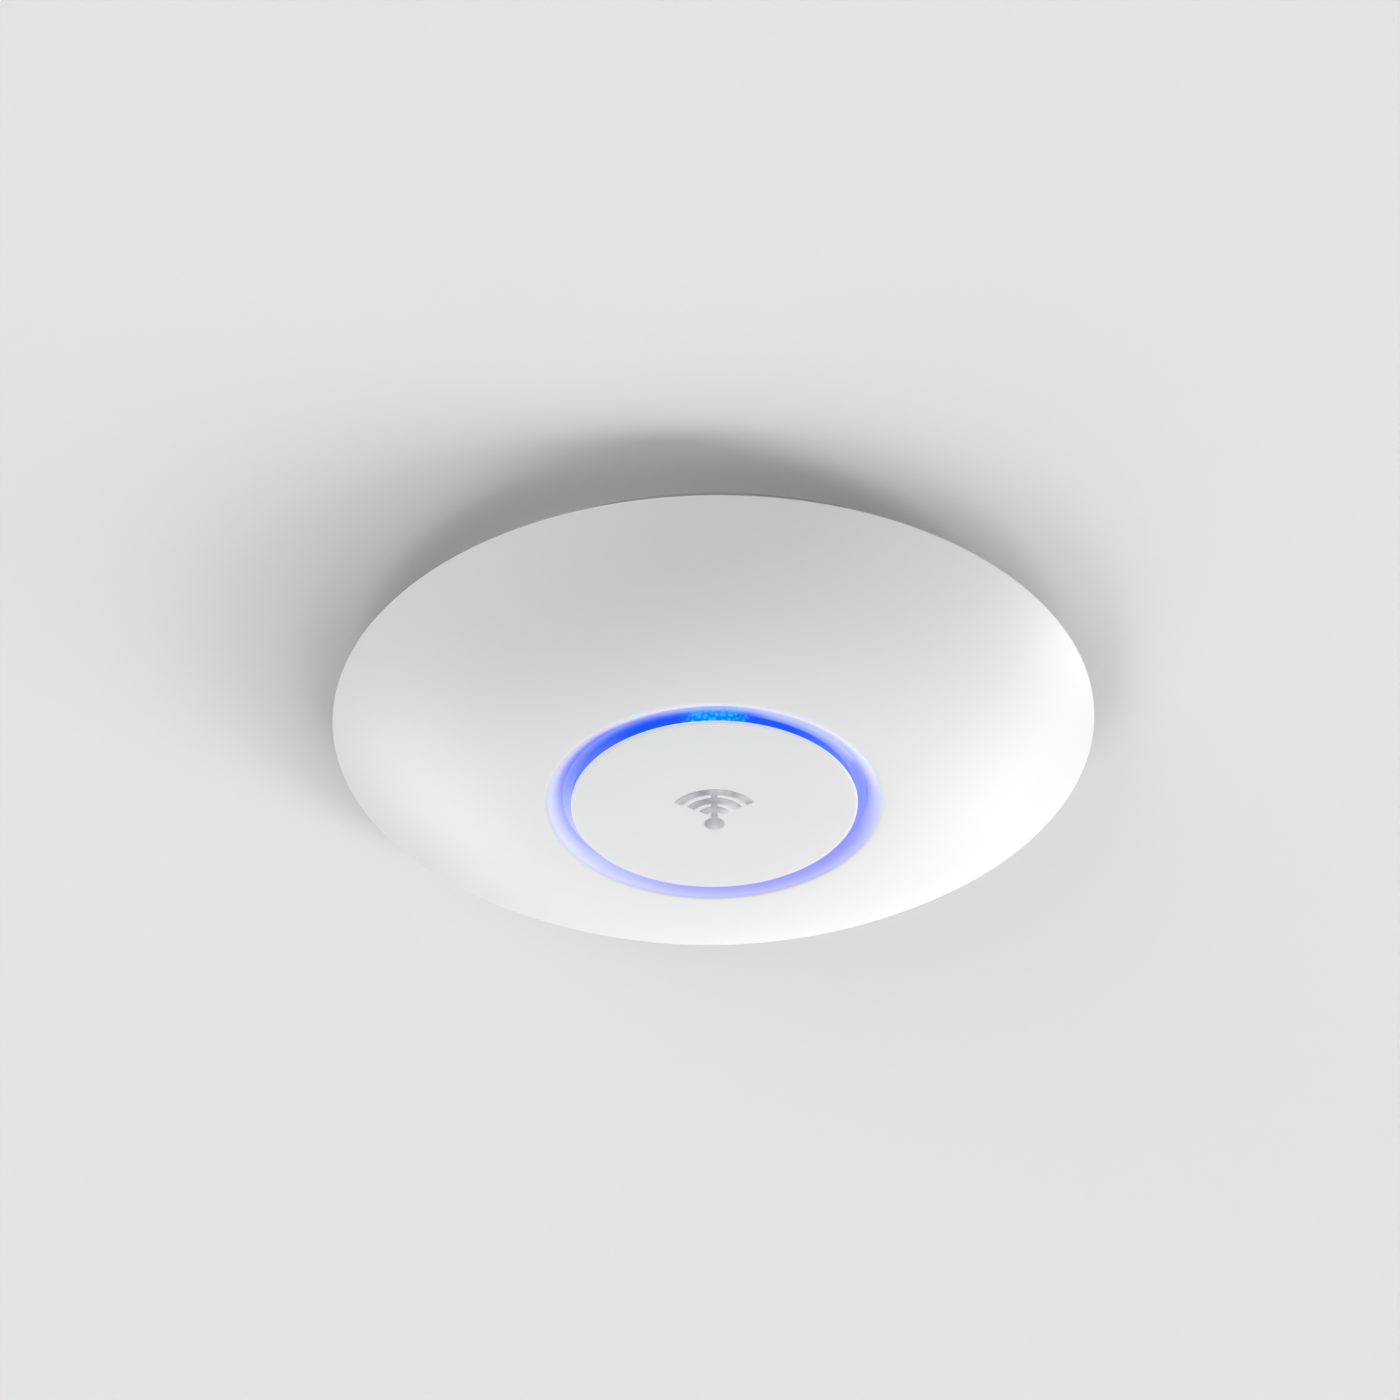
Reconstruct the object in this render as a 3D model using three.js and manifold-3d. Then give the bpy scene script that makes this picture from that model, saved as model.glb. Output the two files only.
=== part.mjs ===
// Ceiling access point: a round wireless access point that twists onto a ceiling plate.
// Millimetres. +Z points up into the ceiling, z = 0 is the ceiling face, the dish hangs below it.
// The cable side of the device faces +Y. Angles are in degrees about +Z, measured from +X.
import * as THREE from "three";
import { mergeVertices } from "three/addons/utils/BufferGeometryUtils.js";
import Module from "manifold-3d";

const wasm = await Module();
wasm.setup();

// ---- overall dish ----
const RIM_R = 98.35;
const RIM_Z = -10;
const DEPTH = 35;
const CROWN_POWER = 3.34;
const SHELL = 2.2;
const ROUND = 52;
const SMALL_ROUND = 14;

// ---- light groove between the dish and its centre cap ----
const GROOVE_R = 43.2;
const CAP_R = 36.75;
const GUIDE_R = 38.8;
const GUIDE_BORE_R = 35.7;
const GUIDE_COLLAR = { r: 36.6, z: -33.55 };
const GUIDE_Z = [-31.25, -26.4];
const EMBLEM_Z = [-35.0, -34.8];
const CHAMFER_R = 39.0;
const CHAMFER_Z = -31.2;

// ---- back housing ----
const BACK_Z = -0.8;
const BACK_R = 88.6;
const POCKET_R = 64;
const POCKET_Z = -5.6;
const WALL = 2;
const WELL = { x: 28, y0: 21, y1: 55, z: -22 };
const EXIT = { x: 4.5, z: -8, y1: 100 };

// ---- twist lock: four mushroom studs on the housing in keyhole slots of the plate ----
const PLATE_R = 62;
const PLATE_WEB = [-5, -3];
const STUD_RING = 46;
const STUD_ANGLES = [30, 160, 225, 315];
const STUD_R = 2.2;
const STUD_HEAD_R = 4.2;
const SLOT_HALF = 2.6;
const ENTRY_R = 4.8;
const TWIST = 22;
const SCREW_X = 30;
const SCREW_Y = 16;
const SCREW_HOLE_R = 2.2;
const HUB_R = 11;
const PLATE_RIBS = [
  [50, 59.8],
  [181, 59.8],
  [245, 49],
  [270, 49],
  [341, 59.8],
];
const PLATE_WINDOWS = [
  [190, 236],
  [279, 332],
];

// ---- lock lever: its nose rests in a ramped notch of the housing ----
const LEVER_PIVOT = [-25, -49.5];
const LEVER_Z = [-2.75, -0.75];
const NOSE_TIP = 65.3;
const NOSE_HALF = 2.2;
const NOTCH_DEPTH = 65.8;
const NOSE_TRAVEL = 1.9;
const NOSE_REST = 2.2;

// ---- electronics ----
const BOARD_Z = -20.9;
const BOARD_T = 1.6;
const BOARD_R = 66;
const HEAT_PLATE_Z = [-9.7, -8.2];
const HEAT_PLATE_R = 71;
const CONTACT = 0.1;
const JACK_X = [-12, 8];
const JACK = { w: 16, y0: -1, y1: 20.7, h: 12.8 };
const JACK_SOCKET = { w: 12, z0: 2.2, z1: 10.4, depth: 15 };
const RESET = { x: 22.5, z: -16.2, r: 0.9, y0: 15.2, y1: 20.4 };
const BOSS_R = 78;
const BOSS_ANGLES = [45, 135, 225, 315];
const STANDOFF_RING = 60;
const STANDOFF_ANGLES = [20, 160, 230, 310];
const ANTENNA_ANGLES = [0, 180, 270];
const LED_RING = 37.3;
const LED_COUNT = 4;
const LED_BOARD_Z = [-25.0, -24.0];
const SOC = [-34, -24];

// ---- small helpers ----
const rad = (degrees) => (degrees * Math.PI) / 180;
const polar = (r, degrees) => [r * Math.cos(rad(degrees)), r * Math.sin(rad(degrees))];
const crownZ = (r) => RIM_Z - (DEPTH + RIM_Z) * (1 - (r / RIM_R) ** CROWN_POWER);
const spread = (from, to, steps) =>
  Array.from({ length: steps + 1 }, (_, i) => from + ((to - from) * i) / steps);

// A solid from a three.js geometry: seams merged, empty triangles dropped, faces turned out.
function solid(geometry) {
  const shell = new THREE.BufferGeometry();
  const source = geometry.index ? geometry.toNonIndexed() : geometry;
  shell.setAttribute("position", source.getAttribute("position"));
  const merged = mergeVertices(shell, 1e-4);
  const corners = merged.index.array;
  const kept = [];
  for (let i = 0; i < corners.length; i += 3) {
    const [a, b, c] = corners.slice(i, i + 3);
    if (a !== b && b !== c && c !== a) kept.push(a, b, c);
  }
  const closed = (triangles) =>
    new wasm.Manifold(
      new wasm.Mesh({
        numProp: 3,
        vertProperties: merged.attributes.position.array,
        triVerts: new Uint32Array(triangles),
      }),
    );
  const made = closed(kept);
  return made.volume() < 0 ? closed(kept.reverse()) : made;
}

const join = (...solids) => solids.flat().reduce((all, next) => all.add(next));
const cut = (body, ...tools) => tools.flat().reduce((left, tool) => left.subtract(tool), body);

// A solid of revolution about Z from [radius, z] points.
function turned(points, segments = ROUND) {
  const profile = points.map(([r, z]) => new THREE.Vector2(r, z));
  const onAxis = points[0][0] === 0 && points.at(-1)[0] === 0;
  if (!onAxis) profile.push(profile[0].clone());
  return solid(new THREE.LatheGeometry(profile, segments).rotateX(Math.PI / 2));
}

// An outline in plan, raised from z0 to z1 and turned about Z.
function raised(points, z0, z1, turn = 0) {
  const shape = new THREE.Shape(points.map(([x, y]) => new THREE.Vector2(x, y)));
  const geometry = new THREE.ExtrudeGeometry(shape, { depth: z1 - z0, bevelEnabled: false });
  return solid(geometry.translate(0, 0, z0).rotateZ(rad(turn)));
}

// A box between two corners, turned about Z.
function box([x0, y0, z0], [x1, y1, z1], turn = 0) {
  const geometry = new THREE.BoxGeometry(x1 - x0, y1 - y0, z1 - z0);
  const centred = geometry.translate((x0 + x1) / 2, (y0 + y1) / 2, (z0 + z1) / 2);
  return solid(centred.rotateZ(rad(turn)));
}

// An upright cone frustum, r0 at z0 and r1 at z1.
function taper([x, y], r0, r1, z0, z1, segments = SMALL_ROUND) {
  const geometry = new THREE.CylinderGeometry(r1, r0, z1 - z0, segments);
  return solid(geometry.rotateX(Math.PI / 2).translate(x, y, (z0 + z1) / 2));
}

// An upright cylinder.
const post = (at, r, z0, z1, segments = SMALL_ROUND) => taper(at, r, r, z0, z1, segments);

// A cylinder lying along Y.
function rod([x, z], r, y0, y1, segments = SMALL_ROUND) {
  const geometry = new THREE.CylinderGeometry(r, r, y1 - y0, segments);
  return solid(geometry.translate(x, (y0 + y1) / 2, z));
}

// A flat band along an arc.
function arcBand(outer, inner, from, to, z0, z1, steps = 7) {
  const sweep = spread(from, to, steps);
  const band = [
    ...sweep.map((a) => polar(outer, a)),
    ...[...sweep].reverse().map((a) => polar(inner, a)),
  ];
  return raised(band, z0, z1);
}

// Puts a solid into a group as one named mesh, moved and turned about Z into its place.
function add(group, name, body, look, at = [0, 0, 0], turn = 0) {
  const { vertProperties, triVerts } = body.getMesh();
  const geometry = new THREE.BufferGeometry();
  geometry.setAttribute("position", new THREE.BufferAttribute(vertProperties, 3));
  geometry.setIndex(new THREE.BufferAttribute(triVerts, 1));
  const [color, roughness, metalness] = look;
  const material = new THREE.MeshStandardMaterial({ color, roughness, metalness });
  const mesh = new THREE.Mesh(geometry, material);
  mesh.name = name;
  mesh.position.set(...at);
  mesh.rotation.z = rad(turn);
  group.add(mesh);
}

// ---- ceiling plate ----
function mountingPlate() {
  const [w0, w1] = PLATE_WEB;
  const screws = [-1, 1].flatMap((i) => [-1, 1].map((j) => [i * SCREW_X, j * SCREW_Y]));
  const ribs = PLATE_RIBS.map(([angle, length]) => box([10, -0.8, w0], [length, 0.8, -0.4], angle));
  const body = join(
    post([0, 0], PLATE_R, w0, w1, ROUND),
    turned([[PLATE_R - 2.4, w0], [PLATE_R, w0], [PLATE_R, 0], [PLATE_R - 2.4, 0]]),
    post([0, 0], HUB_R, w0, 0, 28),
    screws.map((at) => post(at, 5.5, w0, 0)),
    ribs,
    post(LEVER_PIVOT, 1.6, w0, LEVER_Z[1]),
  );
  const slots = STUD_ANGLES.flatMap((a) => [
    arcBand(STUD_RING + SLOT_HALF, STUD_RING - SLOT_HALF, a - TWIST, a, w0 - 1, w1 + 1),
    post(polar(STUD_RING, a), SLOT_HALF, w0 - 1, w1 + 1),
    post(polar(STUD_RING, a - TWIST), ENTRY_R, w0 - 1, w1 + 1),
  ]);
  return cut(
    body,
    slots,
    screws.map((at) => post(at, SCREW_HOLE_R, w0 - 1, 1)),
    screws.map((at) => taper(at, 4.6, SCREW_HOLE_R, w0 - 0.01, w0 + 2.4)),
    PLATE_WINDOWS.map(([from, to]) => arcBand(25, 17, from, to, w0 - 1, w1 + 1, 4)),
    box([-22, 18, w0 - 1], [22, PLATE_R + 2, 1]),
    box([-4.2, -PLATE_R - 1, w1], [6.4, -56, 1]),
  );
}

// The lever turns on the plate's post; its nose passes the rim and rests in the housing notch.
function lockLever() {
  const [px, py] = LEVER_PIVOT;
  const [z0, z1] = LEVER_Z;
  const arm = [
    [px + 1, py + 3],
    [px - 1, py - 3],
    [-NOSE_HALF, -58.2],
    [NOSE_HALF, -58.2],
    [NOSE_HALF + 1.5, -54.0],
    [-3, -52.6],
  ];
  const nose = [
    [-NOSE_HALF, -56],
    [-NOSE_HALF, -NOSE_TIP + 1.3],
    [-NOSE_HALF + 0.9, -NOSE_TIP + 0.15],
    [NOSE_HALF - 1.4, -NOSE_TIP + 0.05],
    [NOSE_HALF - 0.3, -NOSE_TIP + 1.0],
    [NOSE_HALF, -NOSE_TIP + 2.0],
    [NOSE_HALF, -56],
  ];
  const tab = [[2, -55], [3.7, -54], [9.5, -54.6], [9.5, -56.6], [2, -57.6]];
  const body = join(
    post(LEVER_PIVOT, 3.6, z0, z1),
    [arm, nose, tab].map((plan) => raised(plan, z0, z1)),
  );
  return cut(body, post(LEVER_PIVOT, 1.9, z0 - 1, z1 + 1));
}

// ---- back housing ----
const BACK_EDGE = [
  [97.0, -9.4],
  [BACK_R, BACK_Z - 1.0],
  [BACK_R - 0.3, BACK_Z - 0.3],
  [BACK_R - 1.0, BACK_Z],
];

function housingShell() {
  return turned([
    [0, POCKET_Z],
    [POCKET_R, POCKET_Z],
    [POCKET_R, BACK_Z],
    ...[...BACK_EDGE].reverse(),
    [93.9, -9.4],
    [93.9, -11.0],
    [92.2, -11.0],
    [92.2, -8.5],
    [86.6, BACK_Z - WALL],
    [POCKET_R + 3, BACK_Z - WALL],
    [POCKET_R + 3, POCKET_Z - WALL],
    [0, POCKET_Z - WALL],
  ]);
}

// The notch's floor climbs steadily to the pocket wall, so the lever is eased in by the turn.
function lockNotch() {
  const margin = 4;
  const sweep = spread(-margin, TWIST + margin, 10);
  const floor = sweep.map((turn) => {
    const eased = Math.max(turn - NOSE_REST, 0);
    return polar(NOTCH_DEPTH - (NOSE_TRAVEL * eased) / TWIST, 270 + turn);
  });
  const mouth = sweep.reverse().map((turn) => polar(POCKET_R - 1, 270 + turn));
  return raised([...floor, ...mouth], LEVER_Z[0] - 0.4, 1);
}

function backHousing() {
  const floorUnder = POCKET_Z - WALL;
  const pocket = [[POCKET_R, BACK_Z], [POCKET_R, POCKET_Z], [0, POCKET_Z]];
  const envelope = turned([[0, -21], [80, -21], ...BACK_EDGE, ...pocket]);
  const well = box(
    [-WELL.x - WALL, WELL.y0 - WALL, WELL.z - 1.6],
    [WELL.x + WALL, WELL.y1 + WALL, floorUnder + 0.5],
  );
  const shoe = box([-EXIT.x - WALL, WELL.y1, EXIT.z - 1.5], [EXIT.x + WALL, EXIT.y1, BACK_Z]);
  const studs = STUD_ANGLES.map((a) => polar(STUD_RING, a)).flatMap((at) => [
    post(at, STUD_R, POCKET_Z - 1, -2.0),
    post(at, STUD_HEAD_R, -2.7, -1.5),
    taper(at, STUD_HEAD_R, STUD_HEAD_R - 0.6, -1.5, -1.0),
  ]);
  const bosses = BOSS_ANGLES.map((a) => polar(BOSS_R, a));
  const body = join(
    housingShell(),
    well,
    shoe.intersect(envelope),
    bosses.map((at) => post(at, 5.2, -4.4, BACK_Z - 1)),
    studs,
  );
  const jackWindow = box(
    [JACK_X[0] - JACK.w / 2 - 0.3, WELL.y0 - WALL - 1, WELL.z - 3],
    [JACK_X[1] + JACK.w / 2 + 0.3, WELL.y0 + 0.5, floorUnder],
  );
  return cut(
    body,
    box([-WELL.x, WELL.y0, WELL.z], [WELL.x, WELL.y1, 1]),
    jackWindow,
    box([-EXIT.x, WELL.y1 - 1, EXIT.z], [EXIT.x, EXIT.y1 + 1, 1]),
    rod([RESET.x, RESET.z], RESET.r + 0.25, WELL.y0 - WALL - 1, WELL.y0 + 1),
    bosses.map((at) => post(at, 1.7, -6, 0)),
    bosses.map((at) => post(at, 3.4, BACK_Z - 1.8, 0)),
    STANDOFF_ANGLES.map((a) => post(polar(STANDOFF_RING, a), 1.6, -9, floorUnder + 1.2)),
    lockNotch(),
  );
}

// ---- dish: front cover, centre cap, light guide, emblem ----
function domeCover() {
  const crown = spread(GROOVE_R, 97.7, 11).map((r) => [r, crownZ(r)]);
  const inside = spread(91.5, GROOVE_R + 2.3, 5).map((r) => [r, crownZ(r) + SHELL]);
  const shell = turned([
    [CHAMFER_R, CHAMFER_Z],
    ...crown,
    [98.12, RIM_Z - 0.28],
    [RIM_R, RIM_Z + 0.02],
    [98.2, RIM_Z + 0.24],
    [97.9, RIM_Z + 0.33],
    [94.2, RIM_Z + 0.33],
    [94.2, -11.5],
    ...inside,
    [CHAMFER_R, CHAMFER_Z + SHELL - 0.2],
  ]);
  const under = crown.reverse().map(([r, z]) => [r, z + 0.6]);
  const envelope = turned([[0, 0], [RIM_R, 0], ...under, [0, -34]]);
  const bosses = BOSS_ANGLES.map((a) => polar(BOSS_R, a));
  const posts = bosses.map((at) => post(at, 3.6, -23, -4.7).intersect(envelope));
  return cut(join(shell, posts), bosses.map((at) => post(at, 1.5, -19, -4)));
}

function centreCap() {
  const face = spread(0, CAP_R - 0.3, 4).map((r) => [r, crownZ(r)]);
  const body = turned([
    ...face,
    [CAP_R - 0.1, crownZ(CAP_R) + 0.08],
    [CAP_R, crownZ(CAP_R) + 0.22],
    [CAP_R, GUIDE_COLLAR.z - 0.1],
    [GUIDE_BORE_R - 0.3, GUIDE_COLLAR.z - 0.1],
    [GUIDE_BORE_R - 0.3, -29.0],
    [GUIDE_BORE_R - 1.8, -29.0],
    [GUIDE_BORE_R - 1.8, -32.2],
    [0, -33.1],
  ]);
  return cut(body, post([0, 0], 12.6, -36, EMBLEM_Z[1] + 0.08, 32));
}

// Three nested arches on a mast, a plain sign for radio waves.
function emblem() {
  const centre = 3.5;
  const shifted = (points) => points.map(([x, y]) => [x, y + centre]);
  const arches = [4.4, 8.2, 12.0].map((r) => {
    const sweep = spread(212, 328, 10);
    const band = [
      ...sweep.map((a) => polar(r, a)),
      ...[...sweep].reverse().map((a) => polar(r - 2.2, a)),
    ];
    return raised(shifted(band), ...EMBLEM_Z);
  });
  const mast = raised(shifted([[-0.8, 3.2], [0.8, 3.2], [0.8, -11], [-0.8, -11]]), ...EMBLEM_Z);
  return join(arches, mast, post([0, 3.2 + centre], 2.6, ...EMBLEM_Z, 24));
}

// A collar that glows round the cap, and a flange on the floor of the groove.
function lightGuide() {
  const [z0, z1] = GUIDE_Z;
  return turned([
    [GUIDE_BORE_R, GUIDE_COLLAR.z],
    [GUIDE_COLLAR.r, GUIDE_COLLAR.z],
    [GUIDE_COLLAR.r, z0],
    [GUIDE_R, z0],
    [GUIDE_R, z1],
    [GUIDE_BORE_R, z1],
  ]);
}

// ---- metal and boards inside ----
function heatPlate() {
  const [z0, z1] = HEAT_PLATE_Z;
  const ribs = [255, 285, 320, 340].map((a) => box([20, -0.6, z0 - 1.6], [52, 0.6, z0 + 0.5], a));
  return cut(
    join(post([0, 0], HEAT_PLATE_R, z0, z1, ROUND), ribs),
    box([-WELL.x - 3, -4, z0 - 1], [WELL.x + 3, HEAT_PLATE_R + 2, z1 + 1]),
    STANDOFF_ANGLES.map((a) => post(polar(STANDOFF_RING, a), 1.7, z0 - 1, z1 + 1)),
  );
}

function mainBoard() {
  const under = BOARD_Z - BOARD_T;
  const wellEdge = WELL.y0 - WALL - 0.3;
  const tongue = [JACK_X[0] - JACK.w / 2, JACK_X[1] + JACK.w / 2];
  return cut(
    post([0, 0], BOARD_R, under, BOARD_Z, ROUND),
    box([-WELL.x - 3, wellEdge, under - 1], [tongue[0], BOARD_R + 1, BOARD_Z + 1]),
    box([tongue[1], wellEdge, under - 1], [WELL.x + 3, BOARD_R + 1, BOARD_Z + 1]),
    box([tongue[0] - 1, JACK.y1, under - 1], [tongue[1] + 1, BOARD_R + 1, BOARD_Z + 1]),
    STANDOFF_ANGLES.map((a) => post(polar(STANDOFF_RING, a), 1.6, under - 1, BOARD_Z + 1)),
  );
}

// A network socket about x = 0, standing on z = 0.
function jack() {
  const half = JACK_SOCKET.w / 2;
  const mouth = JACK.y1 - JACK_SOCKET.depth;
  return cut(
    box([-JACK.w / 2, JACK.y0, 0], [JACK.w / 2, JACK.y1, JACK.h]),
    box([-half, mouth, JACK_SOCKET.z0], [half, JACK.y1 + 1, JACK_SOCKET.z1]),
    box([-3.2, mouth + 4, 9], [3.2, JACK.y1 + 1, JACK_SOCKET.z1 + 1.2]),
  );
}

// Eight spring contacts joined at their roots, a comb on the socket's floor.
function jackContacts() {
  const z = JACK_SOCKET.z0 + 0.15;
  const back = JACK.y1 - JACK_SOCKET.depth + 0.3;
  const root = box([-4.4, back, z], [4.4, back + 1.6, z + 0.5]);
  const fingers = spread(-3.57, 3.57, 7).map((x) =>
    box([x - 0.22, back + 1, z], [x + 0.22, back + 10, z + 0.45]),
  );
  return join(root, fingers);
}

// A block about its own centre in plan, standing on z = 0.
const block = (w, d, h) => box([-w / 2, -d / 2, 0], [w / 2, d / 2, h]);

function heatSink(height) {
  const slots = [-8, -4, 0, 4, 8].map((x) => box([x - 0.9, -13, 2], [x + 0.9, 13, height - 1.6]));
  return cut(block(24, 24, height), slots);
}

// A hexagonal spacer on the board, with a stud through the heat plate into the housing.
function standoff() {
  const tall = HEAT_PLATE_Z[0] - CONTACT - BOARD_Z - CONTACT;
  const stud = POCKET_Z - WALL + 1 - BOARD_Z;
  return cut(join(post([0, 0], 3.1, 0, tall, 6), post([0, 0], 1.4, tall - 1, stud, 10)),
    post([0, 0], 1.45, -1, 5, 10));
}

// A cross-head screw, its head's seat at z = 0, the head below it and the shank above.
function screw(headH, headR, shankR, length) {
  const reach = headR * 0.62;
  const cross = [20, 110].map((turn) =>
    box([-reach, -0.35, -headH - 1], [reach, 0.35, -headH + 0.7], turn),
  );
  return cut(join(post([0, 0], headR, -headH, 0), post([0, 0], shankR, -0.5, length, 10)), cross);
}

// The same screw driven from above.
function screwDown(headH, headR, shankR, length) {
  const reach = headR * 0.62;
  const cross = [20, 110].map((turn) =>
    box([-reach, -0.35, headH - 0.7], [reach, 0.35, headH + 1], turn),
  );
  return cut(join(post([0, 0], headR, 0, headH), post([0, 0], shankR, -length, 0.5, 10)), cross);
}

// A stamped antenna: a foot under the heat plate, a riser, and a slotted patch near the dish.
function antenna() {
  const t = 0.6;
  const foot = HEAT_PLATE_Z[0] - CONTACT;
  const patch = foot - 6.2;
  const across = [-13, 13];
  const sheet = join(
    box([66, across[0], foot - t], [75, across[1], foot]),
    box([75 - t, across[0], patch], [75, across[1], foot - t / 2]),
    box([75 - t / 2, across[0], patch], [84, across[1], patch + t]),
  );
  return cut(
    sheet,
    box([76.5, -9, patch - 1], [78, 7, patch + 1]),
    box([80.5, -7, patch - 1], [82, 9, patch + 1]),
    box([74, -10, foot - 4.6], [76, -3, foot - 2]),
  );
}

// A coaxial lead from the board plug, round the board's edge, to the antenna riser.
function antennaLead() {
  const r = 0.55;
  const section = new THREE.Shape();
  section.absarc(0, 0, r, 0, 2 * Math.PI);
  const path = new THREE.CatmullRomCurve3(
    [
      [61.4, 0.95],
      [63.5, 1.1],
      [65.5, 2.2],
      [67, 4.2],
      [68.4, 6.4],
      [70.2, 7.6],
      [72.2, 7.9],
      [74.1, 7.9],
    ].map(([x, z]) => new THREE.Vector3(x, 5, BOARD_Z + z)),
  );
  const options = { steps: 9, curveSegments: 4, extrudePath: path, bevelEnabled: false };
  return solid(new THREE.ExtrudeGeometry(section, options));
}

function ledBoard() {
  const [z0, z1] = LED_BOARD_Z;
  const legTop = BOARD_Z - BOARD_T - CONTACT;
  const legs = [30, 150, 270].map((a) => post(polar(31, a), 1.8, z1 - 0.2, legTop, 10));
  return join(turned([[28, z0], [40.5, z0], [40.5, z1], [28, z1]]), legs);
}

// ---- looks: colour, roughness, metalness ----
const LOOK = {
  cover: [0xf1f2f2, 0.35, 0],
  housing: [0xe9eaea, 0.5, 0],
  plate: [0xe3e4e4, 0.55, 0],
  lever: [0xd5d7d8, 0.5, 0],
  foil: [0xc9ccd0, 0.3, 0.9],
  guide: [0x3f6bff, 0.3, 0],
  steel: [0xb9bcc0, 0.35, 1],
  aluminium: [0xa9adb1, 0.4, 1],
  board: [0x1d5a3c, 0.5, 0],
  brass: [0xd8b457, 0.35, 1],
  black: [0x1a1b1d, 0.5, 0],
  graphite: [0x2f3236, 0.45, 0],
  pad: [0x8fa6c4, 0.9, 0],
  led: [0xdfe6ff, 0.3, 0],
  paper: [0xdfe1e2, 0.7, 0],
  bronze: [0xc9b37c, 0.35, 1],
};

// ---- assembly ----
const part = new THREE.Group();
const ceilingSide = new THREE.Group();
const device = new THREE.Group();
part.add(ceilingSide, device);

add(ceilingSide, "mounting_plate", mountingPlate(), LOOK.plate);
add(ceilingSide, "lock_lever", lockLever(), LOOK.lever);

add(device, "back_housing", backHousing(), LOOK.housing);
add(device, "dome_cover", domeCover(), LOOK.cover);
add(device, "centre_cap", centreCap(), LOOK.cover);
add(device, "emblem", emblem(), LOOK.foil);
add(device, "light_guide", lightGuide(), LOOK.guide);
add(device, "heat_plate", heatPlate(), LOOK.aluminium);
add(device, "main_board", mainBoard(), LOOK.board);
add(device, "led_board", ledBoard(), LOOK.paper);
add(device, "rating_label", box([-17, -32, 0], [17, -8, 0.15]), LOOK.paper, [0, 0, POCKET_Z + 0.05]);

const housingScrew = screwDown(1.3, 2.9, 1.35, 13);
BOSS_ANGLES.forEach((a, i) => {
  const at = [...polar(BOSS_R, a), BACK_Z - 1.75];
  add(device, `housing_screw_${i + 1}`, housingScrew, LOOK.steel, at, a);
});

const spacer = standoff();
const boardScrew = screw(1.4, 2.6, 1.25, 5.5);
STANDOFF_ANGLES.forEach((a, i) => {
  const [x, y] = polar(STANDOFF_RING, a);
  const seat = BOARD_Z - BOARD_T - CONTACT;
  add(device, `standoff_${i + 1}`, spacer, LOOK.brass, [x, y, BOARD_Z + CONTACT], a);
  add(device, `board_screw_${i + 1}`, boardScrew, LOOK.steel, [x, y, seat], a);
});

const onBoard = BOARD_Z + CONTACT;
JACK_X.forEach((x, i) => {
  add(device, `network_jack_${i + 1}`, jack(), LOOK.graphite, [x, 0, onBoard]);
  add(device, `jack_contacts_${i + 1}`, jackContacts(), LOOK.brass, [x, 0, onBoard]);
  add(device, `line_transformer_${i + 1}`, block(16, 10, 5.6), LOOK.black, [x, -9, onBoard]);
});

const heatSinkBase = onBoard + 1.5 + CONTACT + 0.8 + CONTACT;
const heatSinkHeight = HEAT_PLATE_Z[0] - CONTACT - heatSinkBase;
[
  ["power_transformer", block(17, 15, 9.4), LOOK.graphite, [44, 2, onBoard]],
  ["capacitor_1", post([0, 0], 4, 0, 8.5, 20), LOOK.graphite, [42, -14, onBoard]],
  ["capacitor_2", post([0, 0], 4, 0, 8.5, 20), LOOK.graphite, [50, -22, onBoard]],
  ["power_inductor", block(10, 10, 4.8), LOOK.graphite, [29, -20, onBoard]],
  ["processor", block(19, 19, 1.5), LOOK.black, [...SOC, onBoard]],
  ["thermal_pad", block(18, 18, 0.8), LOOK.pad, [...SOC, onBoard + 1.5 + CONTACT]],
  ["heat_sink", heatSink(heatSinkHeight), LOOK.aluminium, [...SOC, heatSinkBase]],
  ["memory_chip", block(9, 13, 1.1), LOOK.black, [-46, 0, onBoard]],
  ["flash_chip", block(12, 7, 1.0), LOOK.black, [-30, 4, onBoard]],
  ["radio_shield_1", block(30, 22, 2.8), LOOK.steel, [-2, -40, onBoard]],
  ["radio_shield_2", block(18, 18, 2.8), LOOK.steel, [26, -44, onBoard]],
].forEach(([name, body, look, at]) => add(device, name, body, look, at));

const stampedAntenna = antenna();
const coaxLead = antennaLead();
const coaxPlug = post([60, 5], 1.3, onBoard, onBoard + 1.5, 12);
ANTENNA_ANGLES.forEach((a, i) => {
  add(device, `antenna_${i + 1}`, stampedAntenna, LOOK.bronze, [0, 0, 0], a);
  add(device, `antenna_lead_${i + 1}`, coaxLead, LOOK.black, [0, 0, 0], a);
  add(device, `antenna_plug_${i + 1}`, coaxPlug, LOOK.brass, [0, 0, 0], a);
});

const led = box([-1.1, -1.6, -0.9], [1.1, 1.6, 0]);
spread(0, LED_COUNT - 1, LED_COUNT - 1).forEach((step, i) => {
  const a = (360 / LED_COUNT) * step;
  add(device, `led_${i + 1}`, led, LOOK.led, [...polar(LED_RING, a), LED_BOARD_Z[0] - CONTACT], a);
});

const bore = rod([0, RESET.z], RESET.r + 0.15, RESET.y0 - 1, 18);
const switchBody = box([-2.5, 12, onBoard], [2.5, 16.8, onBoard + 6.4]);
add(device, "reset_switch", cut(switchBody, bore), LOOK.graphite, [RESET.x, 0, 0]);
const plunger = rod([0, RESET.z], RESET.r, RESET.y0, RESET.y1);
add(device, "reset_button", plunger, LOOK.lever, [RESET.x, 0, 0]);

export default part;
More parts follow.
